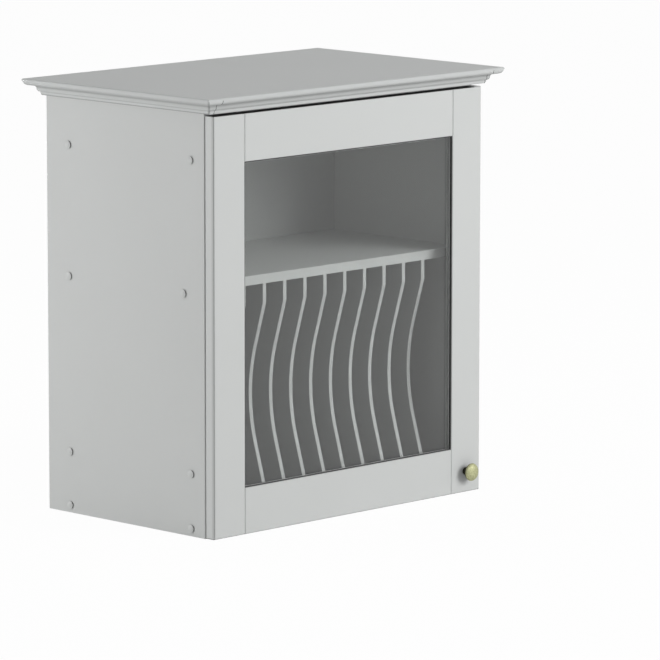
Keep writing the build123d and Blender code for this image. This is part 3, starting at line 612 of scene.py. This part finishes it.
# Painted shade: the brass is near-black behind the knob's rim, where its neck lies in shade, and keeps its
# colour on its face
def paint_shade_behind_knob_rim(material):
    tree = material.node_tree
    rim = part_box("door_rail_top")[0].y - KNOB_RIM_OUT
    mask = remap(tree, place_along(tree, Y), rim - NECK_SHADE_FADE / 2, rim + NECK_SHADE_FADE / 2, 0.0, 1.0)
    overlay(material, mask, KNOB_NECK_SHADE)


# Finishes by material slot
MATERIALS = {
    "painted_board": painted("paint_on_board", PAINT_BODY, drift=0.04, gloss=0.46, ripple=420.0),
    "painted_trim": painted("paint_on_moulding", PAINT_TRIM, drift=0.04, gloss=0.44, ripple=520.0),
    "painted_door": painted("paint_on_door", PAINT_DOOR, drift=0.04, gloss=0.42, ripple=460.0),
    "raw_batten": timber("softwood_batten", SOFTWOOD, rings=55.0),
    "dowel_wood": timber("beech_dowel", BEECH, rings=90.0),
    "cap_plastic": painted("moulded_cap", PAINT_BODY, drift=0.02, gloss=0.38, ripple=900.0),
    "screw_steel": metal("zinc_plate", ZINC, cover=0.4, gloss=0.28, clouds=500.0),
    "hinge_steel": metal("nickel_plate", NICKEL, cover=0.35, gloss=0.2, clouds=260.0),
    "smoked_glass": smoked_glass(),
    "black_seal": rubber("black_seal_rubber", SEAL_BLACK, gloss=0.6),
    "aged_brass": metal("aged_brass_finish", BRASS, cover=0.6, gloss=0.58, clouds=420.0),
    "clear_bumper": rubber("soft_bumper", BUMPER_GREY, gloss=0.35),
}

# Finishes of pieces that look different from the rest of their slot, some with painted shade and painted
# light
BEAD_PAINT_LIGHT = painted("painted_light_on_glazing_beads", PAINT_BEAD_LIGHT, drift=0.02, gloss=0.5, ripple=420.0)
BACK_PANEL_SHADE = painted("painted_shade_on_back_panel", PAINT_BACK_SHADE, drift=0.04, gloss=0.5, ripple=420.0)
RACK_PAINT = painted_two_ways("paint_on_rack", PAINT_RACK_EDGE, PAINT_RACK_FACE_SHADE,
                              drift=0.04, gloss=0.5, ripple=420.0)
FRONT_MOULDING = painted_two_ways("paint_on_front_moulding", PAINT_TRIM, SEAM_END_BLACK,
                                  drift=0.04, gloss=0.44, ripple=520.0)
SIDE_MOULDING = painted("paint_on_side_moulding", PAINT_TRIM, drift=0.04, gloss=0.44, ripple=520.0)
CAP_COLLAR = rubber("cap_collar_painted_shade", COLLAR_SHADE_BLACK, gloss=0.6)
NODE_FINISHES = {
    "cornice_front": FRONT_MOULDING,
    "cornice_return_left": FRONT_MOULDING,
    "cornice_return_right": FRONT_MOULDING,
    "cornice_left": SIDE_MOULDING,
    "cornice_right": SIDE_MOULDING,
    "glazing_beads": BEAD_PAINT_LIGHT,
    "back_panel": BACK_PANEL_SHADE,
}

# Painted shade and painted light laid over the finishes
paint_shade_in_hollows(MATERIALS["painted_trim"], FRONT_SHADE_GROUP)
paint_shade_in_hollows(FRONT_MOULDING, FRONT_SHADE_GROUP)
paint_shade_in_hollows(SIDE_MOULDING, SIDE_SHADE_GROUP)
paint_shade_on_hinge_edge(MATERIALS["painted_door"])
paint_shade_on_door_edges(MATERIALS["painted_door"])
paint_shade_behind_knob_rim(MATERIALS["aged_brass"])
paint_light_on_seal_back(MATERIALS["black_seal"])


def dress_cad_nodes():
    slot_of = {row["node"]: row["material_slot"] for row in frame["record"]["subparts"]}
    for name, thing in nodes.items():
        finish = NODE_FINISHES.get(name, MATERIALS[slot_of[name]])
        if name.startswith("plate_divider"):
            finish = RACK_PAINT
        for slot in thing.material_slots:
            slot.material = finish


# The lowest and highest corner of each separate solid in a node, in a fixed order
def solid_boxes(name):
    mesh = bmesh.new()
    mesh.from_mesh(nodes[name].data)
    bmesh.ops.remove_doubles(mesh, verts=mesh.verts, dist=MERGE_DISTANCE)
    waiting = set(mesh.verts)
    boxes = []
    while waiting:
        reached = [waiting.pop()]
        corners = []
        while reached:
            point = reached.pop()
            corners.append(point.co.copy())
            for edge in point.link_edges:
                other = edge.other_vert(point)
                if other in waiting:
                    waiting.discard(other)
                    reached.append(other)
        low = Vector([min(corner[i] for corner in corners) for i in (X, Y, Z)])
        high = Vector([max(corner[i] for corner in corners) for i in (X, Y, Z)])
        boxes.append((low, high))
    mesh.free()
    return sorted(boxes, key=lambda box: [round(value / MM) for value in (*box[0], *box[1])])


# An object from a finished bmesh: faces outwards, smooth but for its sharp edges
def finished_mesh(name, mesh):
    bmesh.ops.recalc_face_normals(mesh, faces=mesh.faces)
    for face in mesh.faces:
        face.smooth = True
    for edge in mesh.edges:
        if len(edge.link_faces) == 2 and edge.calc_face_angle() > SHARP_ANGLE:
            edge.smooth = False
    data = bpy.data.meshes.new(name)
    mesh.to_mesh(data)
    mesh.free()
    return bpy.data.objects.new(name, data)


# A solid turned about Z from (radius, height) pairs that run from the axis back to the axis
def turned(name, outline):
    mesh = bmesh.new()
    rings = []
    angles = [FULL_TURN * step / TURNING_STEPS for step in range(TURNING_STEPS)]
    for radius, height in outline:
        if radius == 0:
            rings.append([mesh.verts.new((0, 0, height))] * TURNING_STEPS)
            continue
        circle = [(radius * math.cos(angle), radius * math.sin(angle), height) for angle in angles]
        rings.append([mesh.verts.new(corner) for corner in circle])
    for lower, upper in zip(rings, rings[1:]):
        for step in range(TURNING_STEPS):
            following = (step + 1) % TURNING_STEPS
            corners = [lower[step], lower[following], upper[following], upper[step]]
            mesh.faces.new(list(dict.fromkeys(corners)))
    return finished_mesh(name, mesh)


# A low dome on a flat foot, with its rim rounded
def domed_button(name, radius, depth, rim):
    crown_radius = (radius ** 2 + depth ** 2) / (2 * depth)
    centre = depth - crown_radius
    half_angle = math.asin((radius - rim) / crown_radius)
    angles = [half_angle * (1 - step / CROWN_STEPS) for step in range(CROWN_STEPS)]
    crown = [(crown_radius * math.sin(angle), centre + crown_radius * math.cos(angle)) for angle in angles]
    edge = [(radius - rim, 0), (radius, rim * RIM_EDGE_SHARE)]
    return turned(name, [(0, 0), *edge, *crown, (0, depth)])


# A closed plug shaped like a cross, narrower at its foot, that cuts a screwdriver's recess
def cross_cutter(reach, blade, depth):
    quarter = [(reach, -blade), (reach, blade), (blade, blade)]
    outline = []
    for turn in range(4):
        angle = turn * FULL_TURN / 4
        cosine, sine = math.cos(angle), math.sin(angle)
        outline += [(x * cosine - y * sine, x * sine + y * cosine) for x, y in quarter]
    mesh = bmesh.new()
    levels = ((1.0, depth * CROSS_STANDS_OUT), (CROSS_TAPER, -depth))
    rings = [[mesh.verts.new((x * share, y * share, height)) for x, y in outline]
             for share, height in levels]
    for step in range(len(outline)):
        following = (step + 1) % len(outline)
        mesh.faces.new((rings[0][step], rings[0][following], rings[1][following], rings[1][step]))
    mesh.faces.new(rings[0])
    mesh.faces.new(rings[1])
    return finished_mesh("cross_cutter", mesh)


# Leaves the object as its modifiers shape it, as a plain mesh without them
def with_modifiers_applied(thing):
    scene.collection.objects.link(thing)
    bpy.context.view_layer.update()
    graph = bpy.context.evaluated_depsgraph_get()
    data = bpy.data.meshes.new_from_object(thing.evaluated_get(graph))
    scene.collection.objects.unlink(thing)
    thing.modifiers.clear()
    thing.data = data
    return thing


# Screw with its head's top at nought, its point down, ridges for the thread and a cross recess
def cross_screw(name, sizes, length):
    head_radius, head_depth, shank_radius, countersunk = sizes
    point = [(0, -length), (shank_radius * POINT_WIDTH_SHARE, -length + shank_radius)]
    ridges = []
    height = -length + shank_radius * THREAD_START_SHARE
    while height < -head_depth - THREAD_PITCH:
        ridges += [(shank_radius - THREAD_DEPTH, height), (shank_radius, height + THREAD_PITCH / 2)]
        height += THREAD_PITCH
    neck = [(shank_radius - THREAD_DEPTH, -head_depth)]
    if countersunk:
        head = [(head_radius, -COUNTERSUNK_RIM * head_depth),
                (head_radius - COUNTERSUNK_BEVEL * head_depth, 0)]
    else:
        head = [(across * head_radius, -down * head_depth) for across, down in ROUND_HEAD]
    screw = turned(name, [*point, *ridges, *neck, *head, (0, 0)])
    cutter = cross_cutter(head_radius * CROSS_REACH_SHARE, head_radius * CROSS_BLADE_SHARE,
                          head_radius * CROSS_DEPTH_SHARE)
    scene.collection.objects.link(cutter)
    recess = screw.modifiers.new("recess", "BOOLEAN")
    recess.operation = "DIFFERENCE"
    recess.solver = "EXACT"
    recess.object = cutter
    screw = with_modifiers_applied(screw)
    bpy.data.objects.remove(cutter)
    return screw


# Sets one fastener at each point, stood along the point's axis and turned by chance
def make_fastener_tree():
    tree = bpy.data.node_groups.new("fastener_set", "GeometryNodeTree")
    sockets = {}
    for label, kind in (("Places", "Geometry"), ("Fastener", "Object"), ("Width scale", "Float"),
                        ("Depth scale", "Float"), ("Widest turn", "Float"), ("Seed", "Int"),
                        ("Finish", "Material")):
        socket = tree.interface.new_socket(label, in_out="INPUT", socket_type="NodeSocket" + kind)
        sockets[label] = socket.identifier
    tree.interface.new_socket("Set", in_out="OUTPUT", socket_type="NodeSocketGeometry")
    entry = tree.nodes.new("NodeGroupInput")
    leave = tree.nodes.new("NodeGroupOutput")
    axis = add_node(tree, "GeometryNodeInputNamedAttribute", data_type="FLOAT_VECTOR")
    axis.inputs["Name"].default_value = "axis"
    stand = add_node(tree, "FunctionNodeAlignRotationToVector", axis="Z")
    join(tree, axis.outputs["Attribute"], stand.inputs["Vector"])
    chance = add_node(tree, "FunctionNodeRandomValue", data_type="FLOAT")
    low, high = [socket for socket in chance.inputs if socket.enabled][:2]
    low.default_value = 0.0
    join(tree, entry.outputs["Widest turn"], high)
    join(tree, entry.outputs["Seed"], chance.inputs["Seed"])
    turn = add_node(tree, "FunctionNodeAxisAngleToRotation")
    turn.inputs["Axis"].default_value = (0, 0, 1)
    join(tree, next(socket for socket in chance.outputs if socket.enabled), turn.inputs["Angle"])
    rotate = add_node(tree, "FunctionNodeRotateRotation", rotation_space="LOCAL")
    join(tree, stand.outputs["Rotation"], rotate.inputs["Rotation"])
    join(tree, turn.outputs["Rotation"], rotate.inputs["Rotate By"])
    source = add_node(tree, "GeometryNodeObjectInfo")
    join(tree, entry.outputs["Fastener"], source.inputs["Object"])
    size = add_node(tree, "ShaderNodeCombineXYZ")
    join(tree, entry.outputs["Width scale"], size.inputs["X"])
    join(tree, entry.outputs["Width scale"], size.inputs["Y"])
    join(tree, entry.outputs["Depth scale"], size.inputs["Z"])
    copies = add_node(tree, "GeometryNodeInstanceOnPoints")
    join(tree, entry.outputs["Places"], copies.inputs["Points"])
    join(tree, source.outputs["Geometry"], copies.inputs["Instance"])
    join(tree, rotate.outputs["Rotation"], copies.inputs["Rotation"])
    join(tree, size.outputs["Vector"], copies.inputs["Scale"])
    real = add_node(tree, "GeometryNodeRealizeInstances")
    join(tree, copies.outputs["Instances"], real.inputs["Geometry"])
    finish = add_node(tree, "GeometryNodeSetMaterial")
    join(tree, real.outputs["Geometry"], finish.inputs["Geometry"])
    join(tree, entry.outputs["Finish"], finish.inputs["Material"])
    join(tree, finish.outputs["Geometry"], leave.inputs["Set"])
    return tree, sockets


FASTENER_TREE, FASTENER_SOCKETS = make_fastener_tree()


# One mesh of equal fasteners in their own size, from (place, axis) pairs
def fastener_set(name, fastener, places, finish):
    data = bpy.data.meshes.new(name)
    data.from_pydata([place for place, _ in places], [], [])
    axes = data.attributes.new("axis", "FLOAT_VECTOR", "POINT")
    for item, (_, axis) in zip(axes.data, places):
        item.vector = axis
    piece = bpy.data.objects.new(name, data)
    scene.collection.objects.link(fastener)
    grow = piece.modifiers.new("set", "NODES")
    grow.node_group = FASTENER_TREE
    values = {"Fastener": fastener, "Width scale": 1.0, "Depth scale": 1.0, "Widest turn": FULL_TURN,
              "Seed": SEEDS[name], "Finish": finish}
    for label, value in values.items():
        grow[FASTENER_SOCKETS[label]] = value
    piece = with_modifiers_applied(piece)
    bpy.data.objects.remove(fastener)
    scene.collection.objects.link(piece)
    return piece


def belongs(piece, body, slot, *replaced):
    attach(piece, body)
    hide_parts(*replaced)


# Round caps of one size over the side screws: a domed head on a narrower collar, near-black as painted
# shade under the rim
def make_cover_caps():
    heads, collars = [], []
    for low, high in solid_boxes("cover_caps"):
        side = -1 if low.x < 0 else 1
        outer = low.x if side < 0 else high.x
        inner = high.x if side < 0 else low.x
        radius = (high.z - low.z) / 2
        neck = abs(outer - inner) - CAP_HEAD_DEPTH
        middle = (low + high) / 2
        heads.append((Vector((outer - side * CAP_HEAD_DEPTH, middle.y, middle.z)), (side, 0, 0)))
        collars.append((Vector((inner, middle.y, middle.z)), (side, 0, 0)))
    head = domed_button("cap_head", radius, CAP_HEAD_DEPTH, CAP_RIM_SHARE * radius)
    collar_radius = radius - CAP_COLLAR_INSET
    collar = turned("cap_collar", [(0, 0), (collar_radius, 0), (collar_radius, neck), (0, neck)])
    belongs(fastener_set("cap_heads", head, heads, MATERIALS["cap_plastic"]), "root", "cap_plastic",
            "cover_caps")
    belongs(fastener_set("cap_collars", collar, collars, CAP_COLLAR), "root", "cap_plastic", "cover_caps")


# Screws of one size with cross recesses, in place of the node's own and with heads where the axis points
def make_screws(node, body, axis, sizes):
    along = axis.index(1)
    places = []
    for low, high in solid_boxes(node):
        top = (low + high) / 2
        top[along] = high[along]
        length = high[along] - low[along]
        places.append((top, axis))
    screw = cross_screw(node + "_pattern", sizes, length)
    piece = fastener_set(node + "_crosshead", screw, places, MATERIALS["screw_steel"])
    belongs(piece, body, "screw_steel", node)


# Soft domed pads of one size that the door closes on
def make_bumpers():
    places = []
    for low, high in solid_boxes("door_bumpers"):
        foot = (low + high) / 2
        foot.y = low.y
        radius, depth = (high.z - low.z) / 2, high.y - low.y
        places.append((foot, (0, 1, 0)))
    pad = domed_button("bumper_pad", radius, depth, BUMPER_RIM_SHARE * radius)
    piece = fastener_set("door_bumper_pads", pad, places, MATERIALS["clear_bumper"])
    belongs(piece, "door", "clear_bumper", "door_bumpers")


def make_small_pieces():
    make_cover_caps()
    make_screws("batten_screws", "root", (0, 1, 0), BATTEN_SCREW)
    make_screws("hinge_plate_screws", "root", (1, 0, 0), HINGE_PLATE_SCREW)
    make_screws("hinge_cup_screws", "door", (0, 1, 0), HINGE_CUP_SCREW)
    make_bumpers()


# One where the background is looked at, straight or by glass or gloss, and nought where it lights paint
def looked_at(tree):
    path = add_node(tree, "ShaderNodeLightPath")
    seen = calculate(tree, "MAXIMUM", path.outputs["Is Glossy Ray"], path.outputs["Is Transmission Ray"])
    seen = calculate(tree, "MAXIMUM", path.outputs["Is Camera Ray"], seen)
    unscattered = calculate(tree, "LESS_THAN", path.outputs["Diffuse Depth"], HALF_A_BOUNCE)
    return calculate(tree, "MULTIPLY", seen, unscattered)


# Pale floor: nearly white where it is looked at, and the rest of it is paint that takes the shadow
def make_stage():
    corners = [(x * FLOOR_REACH, y * FLOOR_REACH, 0) for x, y in ((-1, -1), (1, -1), (1, 1), (-1, 1))]
    floor_mesh = bpy.data.meshes.new("pale_floor")
    floor_mesh.from_pydata(corners, [], [(0, 1, 2, 3)])
    floor = bpy.data.objects.new("pale_floor", floor_mesh)
    scene.collection.objects.link(floor)
    material, tree, shader = new_material("pale_floor_paint")
    shader.inputs["Base Color"].default_value = (FLOOR_PALENESS, FLOOR_PALENESS, FLOOR_PALENESS, 1.0)
    shader.inputs["Roughness"].default_value = FLOOR_ROUGHNESS
    shine = add_node(tree, "ShaderNodeEmission")
    shine.inputs["Color"].default_value = WHITE
    share = calculate(tree, "MULTIPLY", looked_at(tree), FLOOR_SHINE)
    mix = add_node(tree, "ShaderNodeMixShader")
    join(tree, share, mix.inputs[0])
    join(tree, shader.outputs[0], mix.inputs[1])
    join(tree, shine.outputs[0], mix.inputs[2])
    join(tree, mix.outputs[0], tree.nodes["Material Output"].inputs["Surface"])
    floor_mesh.materials.append(material)


# Studio: soft light on the cabinet from all round, and white where it is looked at
def make_world():
    world = bpy.data.worlds.new("studio")
    scene.world = world
    world.use_nodes = True
    tree = world.node_tree
    light = tree.nodes["Background"]
    light.inputs["Color"].default_value = WHITE
    light.inputs["Strength"].default_value = WORLD_LIGHT
    white = add_node(tree, "ShaderNodeBackground")
    white.inputs["Color"].default_value = WHITE
    white.inputs["Strength"].default_value = 1.0
    mix = add_node(tree, "ShaderNodeMixShader")
    join(tree, looked_at(tree), mix.inputs[0])
    join(tree, light.outputs[0], mix.inputs[1])
    join(tree, white.outputs[0], mix.inputs[2])
    join(tree, mix.outputs[0], tree.nodes["World Output"].inputs["Surface"])


def area_lamp(name, place, size, power):
    data = bpy.data.lights.new(name, "AREA")
    data.shape = "SQUARE"
    data.size = size
    data.energy = power
    lamp = bpy.data.objects.new(name, data)
    direction = Vector(LAMP_TARGET) - Vector(place)
    turn = direction.to_track_quat("-Z", "Y").to_matrix().to_4x4()
    lamp.matrix_world = Matrix.Translation(place) @ turn
    lamp.visible_transmission = False
    scene.collection.objects.link(lamp)


def make_lamps():
    area_lamp("key_right_front", *KEY_LAMP)
    area_lamp("fill_left_rear", *REAR_FILL_LAMP)
    area_lamp("soft_overhead", *OVERHEAD_LAMP)


make_camera()
dress_cad_nodes()
make_small_pieces()
make_stage()
make_world()
make_lamps()
